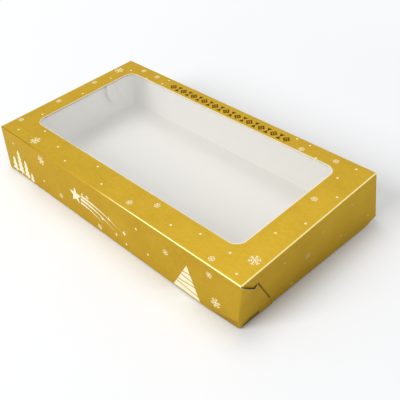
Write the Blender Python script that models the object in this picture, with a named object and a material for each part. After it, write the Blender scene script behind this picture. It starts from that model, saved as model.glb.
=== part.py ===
# Windowed cake carton folded from one creased blank of boxboard: a tray, and a lid hinged
# along the top of the tray's back wall. At the tray's four corners and at the lid's two front
# corners, a tab wraps round the corner outside the end wall, and its tongue passes through a
# slanted slit to the inside and locks. The back ends of the lid's end walls are free.
# Metres. X runs along the box, Y to the back and Z up, from the middle of the base.

import math
from collections import namedtuple

import bmesh
import bpy
from mathutils import Matrix, Vector

# Driving dimensions of the closed box
LENGTH = 0.360                # outside of the lid along X
WIDTH = 0.190                 # outside of the box along Y
HEIGHT = 0.055                # base to the top of the lid
BOARD = 0.0005                # thickness of the boxboard
CREASE_RADIUS = 0.0007        # inside radius of every fold
PANEL_GAP = 0.0003            # between neighbouring panels, and between the layers of a lock
LID_PLAY = 0.0030             # between lid and tray at the front and at each end
LID_SEAT_GAP = 0.0003         # between the tray's rim and the underside of the lid
LID_RIM_LIFT = 0.0010         # free edge of the lid above the base

# The lid's end walls at the back, where nothing holds them
LID_END_SETBACK = 0.0007      # their back edge in front of the box's back
LID_END_RISE = 0.0030         # their lower corner is cut away, this much
LID_END_RISE_LENGTH = 0.015   # over this length

# The tray's walls lean out from a floor that is smaller than the rim
TRAY_END_LEAN = 0.0030
TRAY_BACK_LEAN = 0.0092       # most at the back, where the lid draws the wall's top outward

# Window in the lid and the film behind it
WINDOW_LEFT_MARGIN = 0.025
WINDOW_RIGHT_MARGIN = 0.033
WINDOW_FRONT_MARGIN = 0.031
WINDOW_BACK_MARGIN = 0.020
WINDOW_CORNER_RADIUS = 0.011
FILM = 0.0002                 # thickness of the film
FILM_OVERLAP = 0.008          # glued border of the film round the window

# Corner lock, measured on an end wall inward from the corner and away from the fold
SLIT_CORNER_INSET = 0.0207    # corner to the slit's end nearest the fold
SLIT_FOLD_MARGIN = 0.0125     # fold to the same end of the slit
SLIT_RIM_MARGIN = 0.0085      # free edge of the wall to the other end of the slit
SLIT_LEAN = math.radians(28)  # slit against the upright
SLIT_END_GAP = 0.0005         # between the tongue and each end of the slit
TAB_SHOULDER = 0.0049         # from the slit back to the step in the tab's slanted edge
TAB_FREE_EDGE_SETBACK = 0.0011
TAB_RELIEF_LENGTH = 0.022     # notch in the tab's free edge next to the corner
TAB_RELIEF_HEIGHT = 0.003
TONGUE_TIP_RADIUS = 0.41      # rounded tip, as shares of the tongue's root
TONGUE_TIP_ALONG = 0.70
TONGUE_TIP_BEYOND = 0.045
TONGUE_TIP_END = math.radians(73)

FOLD_SEGMENTS = 4
CORNER_SEGMENTS = 10
TIP_SEGMENTS = 14
CUTTER_MARGIN = 0.002         # how far a cutter stands out of the board on each side

# Sizes that follow
FOLD = CREASE_RADIUS + BOARD               # outside radius of a fold
LAYER = BOARD + PANEL_GAP                  # one layer of board and its clearance
LOCK_STACK = 2 * LAYER + BOARD             # tab, end wall and tongue
FRONT = -WIDTH / 2
BACK = WIDTH / 2
LID_DEPTH = HEIGHT - LID_RIM_LIFT
TRAY_LENGTH = LENGTH - 2 * (LOCK_STACK + LID_PLAY)
TRAY_FRONT = FRONT + BOARD + LID_PLAY
TRAY_DEPTH = HEIGHT - BOARD - LID_SEAT_GAP
HINGE_Z = HEIGHT - FOLD - PANEL_GAP / 2    # the lid turns about the crease's outer face
HINGE_Y = BACK + PANEL_GAP / 2

# One part of the blank: its outside sizes, the height of its folds, and which way its walls
# run from there, -1 for down and 1 for up.
Shell = namedtuple("Shell", "name length front back depth fold_z wall_way material parent")


def clear_scene():
    """Remove whatever the file holds."""
    for item in list(bpy.data.objects):
        bpy.data.objects.remove(item, do_unlink=True)


def board_material(name, colour, roughness, metallic):
    """A plain surface in the part's own colour."""
    material = bpy.data.materials.new(name)
    material.use_nodes = True
    shader = material.node_tree.nodes["Principled BSDF"]
    shader.inputs["Base Color"].default_value = (*colour, 1.0)
    shader.inputs["Roughness"].default_value = roughness
    shader.inputs["Metallic"].default_value = metallic
    return material


def add_object(name, bm, material, location=(0, 0, 0), rotation=(0, 0, 0), parent=None):
    """Turn a bmesh into a named object with its faces pointing out."""
    bmesh.ops.recalc_face_normals(bm, faces=bm.faces)
    mesh = bpy.data.meshes.new(name)
    bm.to_mesh(mesh)
    bm.free()
    item = bpy.data.objects.new(name, mesh)
    item.location = location
    item.rotation_euler = rotation
    if parent:
        item.parent = parent
        item.matrix_parent_inverse = Matrix.Translation(-parent.location)
    if material:
        item.data.materials.append(material)
    bpy.context.collection.objects.link(item)
    return item


def extrude_outline(points, sweep):
    """A solid from a closed outline of points, pushed along the vector sweep."""
    bm = bmesh.new()
    face = bm.faces.new([bm.verts.new(point) for point in points])
    grown = bmesh.ops.extrude_face_region(bm, geom=[face])
    moved = [part for part in grown["geom"] if isinstance(part, bmesh.types.BMVert)]
    bmesh.ops.translate(bm, verts=moved, vec=sweep)
    return bm


def arc(centre_u, centre_v, radius, start, end, segments):
    """Points along an arc, with both ends."""
    angles = [start + (end - start) * step / segments for step in range(segments + 1)]
    return [(centre_u + radius * math.cos(a), centre_v + radius * math.sin(a)) for a in angles]


def cut(item, name, bm):
    """Cut a solid out of an object, with a cutter that isn't part of the box."""
    cutter = add_object(name, bm, None, item.location, item.rotation_euler, item.parent)
    cutter.hide_render = True
    cutter.display_type = "WIRE"
    boolean = item.modifiers.new(name, "BOOLEAN")
    boolean.operation = "DIFFERENCE"
    boolean.solver = "EXACT"
    boolean.object = cutter


def lean_out(shell, bm, placing):
    """Draw a piece of the tray in towards the floor, so that its walls lean outward.

    placing is the matrix that takes the piece's own points to their place on the box.
    """
    if shell.wall_way < 0:
        return
    for vert in bm.verts:
        point = placing @ vert.co
        low = 1 - point.z / shell.depth
        back_share = (point.y - shell.front) / (shell.back - shell.front)
        point.x -= low * TRAY_END_LEAN * point.x / (shell.length / 2)
        point.y -= low * TRAY_BACK_LEAN * back_share
        vert.co = placing.inverted() @ point


def wall_solid(length, depth):
    """A wall with the quarter bend of its crease, seen from outside.

    Its outer face is at y = 0, the inside is +y, the fold is at z = 0 and the free edge
    hangs at z = -depth.
    """
    quarter = math.pi / 2
    outer = arc(FOLD, -FOLD, FOLD, 2 * quarter, quarter, FOLD_SEGMENTS)
    inner = arc(FOLD, -FOLD, CREASE_RADIUS, quarter, 2 * quarter, FOLD_SEGMENTS)
    section = [(0, -depth)] + outer + inner + [(BOARD, -depth)]
    return extrude_outline([(-length / 2, y, z) for y, z in section], (length, 0, 0))


def slit_length(depth):
    """Length of the lock's slit in a wall of this depth."""
    return (depth - SLIT_FOLD_MARGIN - SLIT_RIM_MARGIN) / math.cos(SLIT_LEAN)


def lock_point(beyond, along):
    """Distance from the corner and from the fold of a point of the corner lock.

    beyond counts from the slit's line away from the corner, along counts down the slit.
    """
    inward = SLIT_CORNER_INSET + beyond * math.cos(SLIT_LEAN) + along * math.sin(SLIT_LEAN)
    down = SLIT_FOLD_MARGIN + along * math.cos(SLIT_LEAN) - beyond * math.sin(SLIT_LEAN)
    return inward, down


def slit_cutter(to_corner, side, depth):
    """The slot that one tongue steps through, in the frame of its end wall.

    to_corner is the way from the wall's middle to the box's corner, on the given side. The
    tongue crosses the wall at 45 degrees, so the slot is as wide as that crossing and the
    same clearance on both sides.
    """
    slant_gap = PANEL_GAP * math.sqrt(2)
    near = -BOARD * math.sqrt(2) - slant_gap
    far = BOARD + slant_gap
    end = slit_length(depth)
    corners = [lock_point(*place) for place in ((near, 0), (far, 0), (far, end), (near, end))]
    outline = [(side * (to_corner - inward), -CUTTER_MARGIN, -down) for inward, down in corners]
    return extrude_outline(outline, (0, BOARD + 2 * CUTTER_MARGIN, 0))


def rise_cutter(to_end, side, depth):
    """The wedge cut off the lower free corner of a lid's end wall."""
    end = to_end + CUTTER_MARGIN
    slope = LID_END_RISE / LID_END_RISE_LENGTH
    corners = (
        (to_end - LID_END_RISE_LENGTH, depth),
        (end, depth - slope * (LID_END_RISE_LENGTH + CUTTER_MARGIN)),
        (end, depth + CUTTER_MARGIN),
        (to_end - LID_END_RISE_LENGTH, depth + CUTTER_MARGIN),
    )
    outline = [(side * along, -CUTTER_MARGIN, -down) for along, down in corners]
    return extrude_outline(outline, (0, BOARD + 2 * CUTTER_MARGIN, 0))


def tab_outline(depth):
    """Outline of a corner tab, inward from the corner and down from the fold."""
    root = slit_length(depth) - 2 * SLIT_END_GAP
    tip_radius = TONGUE_TIP_RADIUS * root
    tip_beyond = TONGUE_TIP_BEYOND * root
    tip_along = SLIT_END_GAP + TONGUE_TIP_ALONG * root
    start = Vector((LAYER - tip_beyond, SLIT_END_GAP - tip_along))
    tangent = math.atan2(start.y, start.x) + math.acos(tip_radius / start.length)
    tip = arc(tip_beyond, tip_along, tip_radius, tangent, TONGUE_TIP_END, TIP_SEGMENTS)

    root_end = SLIT_END_GAP + root
    lock = [(-TAB_SHOULDER, SLIT_END_GAP), (LAYER, SLIT_END_GAP)] + tip
    lock += [(LAYER, root_end), (-TAB_FREE_EDGE_SETBACK, root_end)]
    points = [(0, FOLD + PANEL_GAP)] + [lock_point(*place) for place in lock]

    inward, down = points[-1]
    points.append((inward + (depth - down) * math.tan(SLIT_LEAN), depth))
    relief = depth - TAB_RELIEF_HEIGHT
    return points + [(TAB_RELIEF_LENGTH, depth), (TAB_RELIEF_LENGTH, relief), (0, relief)]


def tab_solid(depth):
    """A tab folded round the near right corner of a lid, from the corner's own point.

    The flat outline is creased along the corner and along the two sides of the slit, then
    bent: first round the corner, then in through the end wall.
    """
    bm = bmesh.new()
    bm.faces.new([bm.verts.new((0, inward, -down)) for inward, down in tab_outline(depth)])
    across = Vector((0, math.cos(SLIT_LEAN), math.sin(SLIT_LEAN)))
    slit_top = Vector((0, SLIT_CORNER_INSET, -SLIT_FOLD_MARGIN))
    creases = [(slit_top - across * LAYER, across), (slit_top + across * LAYER, across)]
    for step in range(1, FOLD_SEGMENTS + 1):
        turn = math.pi / 2 * step / FOLD_SEGMENTS
        creases.append((Vector((0, FOLD * (1 - math.cos(turn)), 0)), Vector((0, 1, 0))))
    for point, normal in creases:
        bmesh.ops.bisect_plane(
            bm, geom=bm.verts[:] + bm.edges[:] + bm.faces[:], dist=1e-7, plane_co=point, plane_no=normal
        )

    for vert in bm.verts:
        beyond = (vert.co - slit_top).dot(across)
        step_in = min(max(beyond + LAYER, 0), 2 * LAYER)
        to_flat = max(FOLD - vert.co.y, 0)
        vert.co.x = math.sqrt(FOLD ** 2 - to_flat ** 2) - FOLD - step_in
    for face in bm.faces:
        face.normal_update()
        if face.normal.x < 0:
            face.normal_flip()
    bmesh.ops.solidify(bm, geom=bm.faces[:], thickness=BOARD)
    return bm


def add_wall(shell, label, length, depth, place, heading, cutters=()):
    """One wall with its crease, at its place on the blank, and what is cut out of it."""
    name = f"{shell.name}_{label}"
    flip = 0 if shell.wall_way < 0 else math.pi
    location = (*place, shell.fold_z)
    rotation = (flip, 0, heading + flip)
    turn = Matrix.Rotation(rotation[2], 4, "Z") @ Matrix.Rotation(rotation[0], 4, "X")
    placing = Matrix.Translation(location) @ turn
    solid = wall_solid(length, depth)
    lean_out(shell, solid, placing)
    wall = add_object(name, solid, shell.material, location, rotation, shell.parent)
    for number, cutter in enumerate(cutters, 1):
        lean_out(shell, cutter, placing)
        cut(wall, f"{name}_cut_{number}", cutter)


def add_long_wall(shell, label, depth):
    """A front or back wall."""
    length = shell.length - 2 * (FOLD + PANEL_GAP)
    if label == "front_wall":
        add_wall(shell, label, length, depth, (0, shell.front), 0)
    else:
        add_wall(shell, label, length, depth, (0, shell.back), math.pi)


def add_end_walls(shell, back_end):
    """Both end walls, from the front fold to back_end, with the slits that their tabs need."""
    front_end = shell.front + FOLD + PANEL_GAP
    middle = (front_end + back_end) / 2
    end_out = shell.length / 2 - LAYER
    for label, x_side in (("right_end_wall", 1), ("left_end_wall", -1)):
        cutters = [slit_cutter(middle - shell.front, -x_side, shell.depth)]
        if shell.wall_way < 0:
            cutters.append(rise_cutter(back_end - middle, x_side, shell.depth))
        else:
            cutters.append(slit_cutter(shell.back - middle, x_side, shell.depth))
        place = (x_side * end_out, middle)
        add_wall(
            shell, label, back_end - front_end, shell.depth, place, x_side * math.pi / 2, cutters
        )


def add_tabs(shell, rows):
    """The corner tabs of a blank, mirrored from one folded tab."""
    for row, y_side in rows:
        for column, x_side in (("left", -1), ("right", 1)):
            bm = tab_solid(shell.depth)
            mirror = Matrix.Diagonal((x_side, -y_side, -shell.wall_way, 1))
            bmesh.ops.transform(bm, matrix=mirror, verts=bm.verts)
            y = shell.front if y_side < 0 else shell.back
            corner = Vector((x_side * shell.length / 2, y, shell.fold_z))
            lean_out(shell, bm, Matrix.Translation(corner))
            name = f"{shell.name}_{row}_{column}_tab"
            add_object(name, bm, shell.material, corner, parent=shell.parent)


def add_tray_floor(shell):
    """The flat panel that the tray's four walls fold from."""
    half_x = shell.length / 2 - LAYER - FOLD - PANEL_GAP
    inset = FOLD + PANEL_GAP
    x_y = [(-half_x, shell.front + inset), (half_x, shell.front + inset)]
    x_y += [(half_x, shell.back - inset), (-half_x, shell.back - inset)]
    floor = extrude_outline([(x, y, 0) for x, y in x_y], (0, 0, BOARD))
    lean_out(shell, floor, Matrix.Identity(4))
    add_object("tray_floor", floor, shell.material)


def add_lid_top(shell):
    """The lid's flat panel, with the hinge's quarter bend along its back."""
    half_x = shell.length / 2 - LAYER - FOLD - PANEL_GAP
    front = shell.front + FOLD + PANEL_GAP
    back = shell.back - FOLD
    quarter = math.pi / 2
    outer = arc(back, BOARD - FOLD, FOLD, quarter, 0, FOLD_SEGMENTS)
    inner = arc(back, BOARD - FOLD, CREASE_RADIUS, 0, quarter, FOLD_SEGMENTS)
    section = [(front, 0), (front, BOARD)] + outer + inner
    panel = extrude_outline([(-half_x, y, z) for y, z in section], (2 * half_x, 0, 0))
    place = (0, 0, shell.fold_z - BOARD)
    return add_object("lid_top_panel", panel, shell.material, place, parent=shell.parent)


def window_edges():
    """Left, right, front and back edge of the window."""
    left = -LENGTH / 2 + WINDOW_LEFT_MARGIN
    right = LENGTH / 2 - WINDOW_RIGHT_MARGIN
    front = FRONT + WINDOW_FRONT_MARGIN
    back = BACK - WINDOW_BACK_MARGIN
    return left, right, front, back


def cut_window(panel):
    """The window, a rectangle with rounded corners."""
    left, right, front, back = window_edges()
    radius = WINDOW_CORNER_RADIUS
    quarter = math.pi / 2
    corners = ((right, back, 0), (left, back, 1), (left, front, 2), (right, front, 3))
    outline = []
    for x, y, turn in corners:
        centre_x = x - radius if x == right else x + radius
        centre_y = y - radius if y == back else y + radius
        start = turn * quarter
        outline += arc(centre_x, centre_y, radius, start, start + quarter, CORNER_SEGMENTS)
    sweep = (0, 0, BOARD + 2 * CUTTER_MARGIN)
    cut(panel, "window", extrude_outline([(x, y, -CUTTER_MARGIN) for x, y in outline], sweep))


def add_film(shell, material):
    """The clear film glued behind the window."""
    left, right, front, back = window_edges()
    low_x, high_x = left - FILM_OVERLAP, right + FILM_OVERLAP
    low_y, high_y = front - FILM_OVERLAP, back + FILM_OVERLAP
    corners = [(low_x, low_y, 0), (high_x, low_y, 0), (high_x, high_y, 0), (low_x, high_y, 0)]
    place = (0, 0, shell.fold_z - BOARD - PANEL_GAP - FILM)
    film = extrude_outline(corners, (0, 0, FILM))
    add_object("lid_window_film", film, material, place, parent=shell.parent)


clear_scene()
gold_board = board_material("gold_printed_board", (0.56, 0.35, 0.035), 0.38, 0.65)
white_board = board_material("white_board", (0.74, 0.72, 0.68), 0.62, 0.0)
clear_film = board_material("clear_film", (0.85, 0.87, 0.88), 0.08, 0.0)

# The lid's panels hang on one empty, which turns about the crease at the back.
lid_hinge = bpy.data.objects.new("lid_hinge", None)
lid_hinge.location = (0, HINGE_Y, HINGE_Z)
bpy.context.collection.objects.link(lid_hinge)

lid = Shell("lid", LENGTH, FRONT, BACK, LID_DEPTH, HEIGHT, -1, gold_board, lid_hinge)
tray = Shell("tray", TRAY_LENGTH, TRAY_FRONT, BACK, TRAY_DEPTH, 0, 1, white_board, None)

add_long_wall(lid, "front_wall", LID_DEPTH)
add_end_walls(lid, BACK - LID_END_SETBACK)
add_tabs(lid, [("front", -1)])
cut_window(add_lid_top(lid))
add_film(lid, clear_film)

add_long_wall(tray, "front_wall", TRAY_DEPTH)
add_long_wall(tray, "back_wall", HINGE_Z - PANEL_GAP / 2)
add_end_walls(tray, BACK - FOLD - PANEL_GAP)
add_tabs(tray, [("front", -1), ("back", 1)])
add_tray_floor(tray)
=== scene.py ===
import math

import bmesh
import bpy
from mathutils import Matrix, Vector


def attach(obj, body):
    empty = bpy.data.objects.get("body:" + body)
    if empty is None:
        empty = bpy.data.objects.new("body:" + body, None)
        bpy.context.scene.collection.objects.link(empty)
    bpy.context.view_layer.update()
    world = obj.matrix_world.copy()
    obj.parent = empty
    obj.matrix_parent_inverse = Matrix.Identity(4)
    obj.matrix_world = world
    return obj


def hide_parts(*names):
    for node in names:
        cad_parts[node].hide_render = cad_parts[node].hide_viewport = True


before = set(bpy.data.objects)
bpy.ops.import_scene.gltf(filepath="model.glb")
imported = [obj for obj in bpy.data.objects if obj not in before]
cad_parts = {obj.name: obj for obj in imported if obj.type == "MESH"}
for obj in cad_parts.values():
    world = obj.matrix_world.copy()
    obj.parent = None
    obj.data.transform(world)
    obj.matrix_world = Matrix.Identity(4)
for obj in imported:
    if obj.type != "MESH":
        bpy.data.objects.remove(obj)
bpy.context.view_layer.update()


# Viewpoint: a long lens looks down on the near right corner of the box, held a little
# askew, from the place that the lid's and the window's corners give.
CAMERA_PLACE = (0.41096, -0.33653, 0.43125)
CAMERA_HEADING = math.radians(48.277)
CAMERA_PITCH = math.radians(40.288)
CAMERA_ROLL = math.radians(-5.204)
LENS_LENGTH = 56.96               # millimetres, as is the frame's width
FRAME_WIDTH = 36
QUARTER = math.pi / 2

lens = bpy.data.cameras.new("photo_camera")
lens.lens = LENS_LENGTH
lens.sensor_width = FRAME_WIDTH
camera = bpy.data.objects.new("photo_camera", lens)
camera.matrix_world = (
    Matrix.Translation(CAMERA_PLACE)
    @ Matrix.Rotation(CAMERA_HEADING, 4, "Z")
    @ Matrix.Rotation(QUARTER - CAMERA_PITCH, 4, "X")
    @ Matrix.Rotation(CAMERA_ROLL, 4, "Z")
)
bpy.context.scene.collection.objects.link(camera)
bpy.context.scene.camera = camera
bpy.context.scene.view_settings.view_transform = "Standard"


# Studio: a white table without an edge in sight, an even white room, a large soft lamp nearly
# overhead and another in front. The box shades the table softly all round its foot.
ROOM_LIGHT = 0.44
ROOM_SHOWN = 1.0
TABLE_GREY = (0.87, 0.87, 0.87, 1)            # as it lights the box
TABLE_SHOWN = (0.965, 0.975, 0.99, 1)         # as it looks
TABLE_NEAR = 0.30                 # out to here it shows shadows, and from the next on it is white
TABLE_FAR = 0.80
TABLE_REACH = 6                   # half its width
TABLE_DROP = 0.0002               # how far it lies below the box
FIRST_BOUNCE = 0.5                # a ray of less diffuse depth has met no matt surface yet
MIX_SHARE, MIX_FIRST, MIX_SECOND, MIX_RESULT = 0, 6, 7, 2        # sockets of a colour mix


def add_node(tree, kind, links=(), **values):
    """A shader node with its plain values set and its inputs linked from other sockets."""
    node = tree.nodes.new(kind)
    for name, value in values.items():
        setattr(node, name, value)
    for name, source in dict(links).items():
        if hasattr(source, "is_output"):
            tree.links.new(source, node.inputs[name])
        else:
            node.inputs[name].default_value = source
    return node


def combine(tree, operation, first, second):
    """One number made from two by a named operation."""
    return add_node(
        tree, "ShaderNodeMath", {0: first, 1: second}, operation=operation
    ).outputs[0]


def blend_colours(tree, share, first, second):
    """The colour that lies share of the way from first to second."""
    return add_node(
        tree, "ShaderNodeMix", {MIX_SHARE: share, MIX_FIRST: first, MIX_SECOND: second},
        data_type="RGBA",
    ).outputs[MIX_RESULT]


def seen_directly(tree):
    """1 for rays that show a surface or a reflection of it, 0 for rays that light another."""
    path = add_node(tree, "ShaderNodeLightPath")
    shown = path.outputs["Is Camera Ray"]
    for kind in ("Is Glossy Ray", "Is Transmission Ray"):
        shown = combine(tree, "MAXIMUM", shown, path.outputs[kind])
    unlit = combine(tree, "LESS_THAN", path.outputs["Diffuse Depth"], FIRST_BOUNCE)
    return combine(tree, "MULTIPLY", shown, unlit)


room = bpy.data.worlds.new("white_room")
room.use_nodes = True
backdrop = room.node_tree.nodes["Background"]
backdrop.inputs["Color"].default_value = (1, 1, 1, 1)
brightness = add_node(
    room.node_tree, "ShaderNodeMapRange",
    {"Value": seen_directly(room.node_tree), "To Min": ROOM_LIGHT, "To Max": ROOM_SHOWN},
)
room.node_tree.links.new(brightness.outputs[0], backdrop.inputs["Strength"])
bpy.context.scene.world = room

table_finish = bpy.data.materials.new("white_table")
table_finish.use_nodes = True
tree = table_finish.node_tree
tree.nodes.remove(tree.nodes["Principled BSDF"])
whiteness = blend_colours(tree, seen_directly(tree), TABLE_GREY, TABLE_SHOWN)
matt = add_node(tree, "ShaderNodeBsdfDiffuse", {"Color": whiteness})
plain_white = add_node(tree, "ShaderNodeEmission", {"Color": (1, 1, 1, 1), "Strength": 1.0})
away = add_node(
    tree, "ShaderNodeVectorMath",
    {0: add_node(tree, "ShaderNodeTexCoord").outputs["Object"]}, operation="LENGTH",
).outputs["Value"]
fading = add_node(
    tree, "ShaderNodeMapRange",
    {"Value": away, "From Min": TABLE_NEAR, "From Max": TABLE_FAR}, interpolation_type="SMOOTHSTEP",
)
faded = combine(tree, "MULTIPLY", fading.outputs[0], seen_directly(tree))
surface = add_node(
    tree, "ShaderNodeMixShader", {0: faded, 1: matt.outputs[0], 2: plain_white.outputs[0]}
)
tree.links.new(surface.outputs[0], tree.nodes["Material Output"].inputs["Surface"])

bm = bmesh.new()
bmesh.ops.create_grid(bm, x_segments=1, y_segments=1, size=TABLE_REACH)
bmesh.ops.translate(bm, verts=bm.verts, vec=(0, 0, -TABLE_DROP))
table_mesh = bpy.data.meshes.new("table")
bm.to_mesh(table_mesh)
bm.free()
table = bpy.data.objects.new("table", table_mesh)
table.data.materials.append(table_finish)
bpy.context.scene.collection.objects.link(table)


def softbox(name, place, width, watts):
    """A soft square lamp at a place, turned to the middle of the box's foot."""
    light = bpy.data.lights.new(name, "AREA")
    light.shape = "SQUARE"
    light.size = width
    light.energy = watts
    lamp = bpy.data.objects.new(name, light)
    facing = (-Vector(place)).to_track_quat("-Z", "Y")
    lamp.matrix_world = Matrix.Translation(place) @ facing.to_matrix().to_4x4()
    bpy.context.scene.collection.objects.link(lamp)


softbox("top_softbox", place=(-0.85, 0.85, 3.85), width=2.1, watts=44.5)
softbox("front_softbox", place=(-1.05, -3.45, 2.55), width=2.4, watts=118.0)


# Lid, top panel: the flat face of the folded blank, 0.5 mm boxboard printed satin gold outside
# and left white inside. The die cuts the window, whose bare edge shows cream, and the panel
# turns down along its back into the crease that it hinges on.
BOARD = 0.0005
FOLD = 0.0012                     # outside radius of a fold
FOLD_STEPS = 6
LID_LENGTH = 0.360
LID_WIDTH = 0.190
LID_TOP = 0.055
END_INSET = 0.0008                # an end wall sits one layer inside its tabs
WINDOW = (-0.155, 0.147, -0.064, 0.075)            # left, right, front and back edge
BARE_MARGINS = (0.0010, 0.0014, 0.0006, 0.0010)    # the print stops this short of them
WINDOW_RADIUS = 0.011
RIM_RADIUS = 0.0002
CORNER_STEPS = 10                 # edges round a corner of the window or the rim
HINGE_WEAR_AND_HIGHLIGHT = 1.1                  # wear and painted highlight of the bend at the back
LAYER_SHADE = 0.86                # the darker layers of a cut edge, as a share of its colour
SHARP_TURN = math.radians(32)     # an edge that turns more than this stays sharp
SAME_PLACE = 1e-6                 # points nearer than this are taken as one
ON_PLANE = 1e-7                   # a cut goes through points nearer to it than this

GOLD_DEEP = (0.488, 0.302, 0.021, 1)
GOLD_LIGHT = (0.570, 0.368, 0.030, 1)
GOLD_GRAZING = (1.0, 0.78, 0.20, 1)
# gold darkened as painted shade
GOLD_PAINTED_SHADE = (0.26, 0.15, 0.012, 1)
# bare paper at the worn folds, brightened as a painted highlight
BARE_PAPER_AND_HIGHLIGHT = (1.0, 0.87, 0.40, 1)
INSIDE_WHITE = (0.950, 0.920, 0.856, 1)
INSIDE_SHADE = (0.930, 0.900, 0.830, 1)
CUT_CREAM = (0.93, 0.85, 0.62, 1)


def new_finish(name, **values):
    """A material with its shader, its node tree and the place on the box in metres."""
    material = bpy.data.materials.new(name)
    material.use_nodes = True
    tree = material.node_tree
    shader = tree.nodes["Principled BSDF"]
    for socket, value in values.items():
        shader.inputs[socket.replace("_", " ")].default_value = value
    place = add_node(tree, "ShaderNodeTexCoord").outputs["Object"]
    return material, tree, shader, place


def speckle(tree, place, size, stretch=(1, 1, 1), detail=2.0):
    """Noise whose spots are about size metres across, longer where stretch is above 1."""
    scale = [1 / (size * along) for along in stretch]
    spread = add_node(tree, "ShaderNodeMapping", {"Vector": place, "Scale": scale})
    return add_node(
        tree, "ShaderNodeTexNoise", {"Vector": spread.outputs[0], "Scale": 1.0, "Detail": detail}
    ).outputs["Fac"]


def between(tree, share, low, high, from_low=0.3, from_high=0.7):
    """A number from low to high as share goes from from_low to from_high."""
    return add_node(
        tree, "ShaderNodeMapRange",
        {
            "Value": share, "From Min": from_low, "From Max": from_high,
            "To Min": low, "To Max": high,
        },
    ).outputs[0]


def emboss(tree, shader, height, strength, depth):
    """Fine relief on a surface."""
    bump = add_node(
        tree, "ShaderNodeBump", {"Height": height, "Strength": strength, "Distance": depth}
    )
    tree.links.new(bump.outputs[0], shader.inputs["Normal"])


def gold_print():
    """Satin gold ink on board: slow tone shifts, faint streaks, fibres, worn folds, painted
    highlight and shade.
    """
    material, tree, shader, place = new_finish(
        "gold_print", Metallic=0.62, Specular_Tint=GOLD_GRAZING
    )
    cloud = speckle(tree, place, size=0.035, detail=3)
    grain = speckle(tree, place, size=0.0016, stretch=(2.5, 1, 1), detail=3)
    tone = combine(tree, "ADD", cloud, grain)
    lighter = between(tree, tone, 0, 1, from_low=0.65, from_high=1.35)
    gold = blend_colours(tree, lighter, GOLD_DEEP, GOLD_LIGHT)

    # The attribute is above 0 where a fold is rubbed bare with a painted highlight, below 0 where
    # shade is painted
    crease = add_node(tree, "ShaderNodeAttribute", attribute_name="crease").outputs["Fac"]
    darker = between(tree, crease, 0.9, 0.0, from_low=-0.8, from_high=-0.2)
    creased = blend_colours(tree, darker, gold, GOLD_PAINTED_SHADE)
    flecks = speckle(tree, place, size=0.0012)
    crack = between(tree, flecks, 0.85, 1.0, from_low=0.35, from_high=0.6)
    worn = between(tree, crease, 0, 1, from_low=0.3, from_high=0.8)
    colour = blend_colours(tree, combine(tree, "MULTIPLY", worn, crack), creased, BARE_PAPER_AND_HIGHLIGHT)
    tree.links.new(colour, shader.inputs["Base Color"])

    fibre = speckle(tree, place, size=0.0005, stretch=(3, 1, 1), detail=3)
    tree.links.new(between(tree, fibre, 0.34, 0.44), shader.inputs["Roughness"])
    emboss(tree, shader, fibre, strength=0.12, depth=0.00006)
    return material


def white_inside():
    """The blank's unprinted side, a matt white coating over the fibres."""
    material, tree, shader, place = new_finish("white_inside")
    cloud = speckle(tree, place, size=0.018, detail=4)
    tree.links.new(
        blend_colours(tree, between(tree, cloud, 0, 1), INSIDE_SHADE, INSIDE_WHITE),
        shader.inputs["Base Color"],
    )
    fibre = speckle(tree, place, size=0.0004, stretch=(2, 1, 1), detail=3)
    tree.links.new(between(tree, fibre, 0.58, 0.70), shader.inputs["Roughness"])
    emboss(tree, shader, fibre, strength=0.05, depth=0.00004)
    return material


def cut_edge(name, colour):
    """The bare cut through the board, slightly layered."""
    material, tree, shader, place = new_finish(name, Roughness=0.7)
    layers = speckle(tree, place, size=0.00015, stretch=(12, 12, 1))
    shade = tuple(LAYER_SHADE * channel for channel in colour[:3]) + (1,)
    tree.links.new(
        blend_colours(tree, between(tree, layers, 0, 1), shade, colour),
        shader.inputs["Base Color"],
    )
    return material


BOARD_SIDES = (gold_print(), white_inside(), cut_edge("cut_edge", CUT_CREAM))
INSIDE, CUT = 1, 2                # their places; a new face is printed, at 0


def give_board_thickness(bm):
    """Turn the printed sheet, which faces out, into board with a white back and bare edges."""
    bm.normal_update()
    outside = set(bm.faces)
    backed = bmesh.ops.solidify(bm, geom=bm.faces[:], thickness=BOARD)
    back = {part for part in backed["geom"] if isinstance(part, bmesh.types.BMFace)}
    for face in bm.faces:
        if face in back:
            face.material_index = INSIDE
        elif face not in outside:
            face.material_index = CUT


def add_piece(name, bm, materials, body, node=None):
    """Put a finished mesh in the scene, riding on its body; node is the plain solid it hides."""
    mesh = bpy.data.meshes.new(name)
    bm.to_mesh(mesh)
    bm.free()
    for material in materials:
        mesh.materials.append(material)
    mesh.shade_smooth()
    mesh.set_sharp_from_angle(angle=SHARP_TURN)
    piece = bpy.data.objects.new(name, mesh)
    bpy.context.scene.collection.objects.link(piece)
    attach(piece, body)
    if node:
        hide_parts(node)


def cut_through(bm, point, normal, **cleared):
    """Cut a sheet's faces along a plane through a point."""
    bmesh.ops.bisect_plane(
        bm, geom=bm.verts[:] + bm.edges[:] + bm.faces[:], dist=ON_PLANE,
        plane_co=point, plane_no=normal, **cleared,
    )


def score(bm, normal, places):
    """Cut a sheet's faces along parallel planes, so that it can bend there."""
    for place in places:
        cut_through(bm, Vector(normal) * place, normal)


def steps_between(low, high, spacing):
    """Places evenly spread inside a span, about spacing apart."""
    count = max(1, round((high - low) / spacing))
    return [low + (high - low) * step / count for step in range(1, count)]


def rectangle(bm, left, right, front, back, height):
    """A level rectangular face."""
    corners = [(left, front), (right, front), (right, back), (left, back)]
    return bm.faces.new([bm.verts.new((x, y, height)) for x, y in corners])


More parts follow.
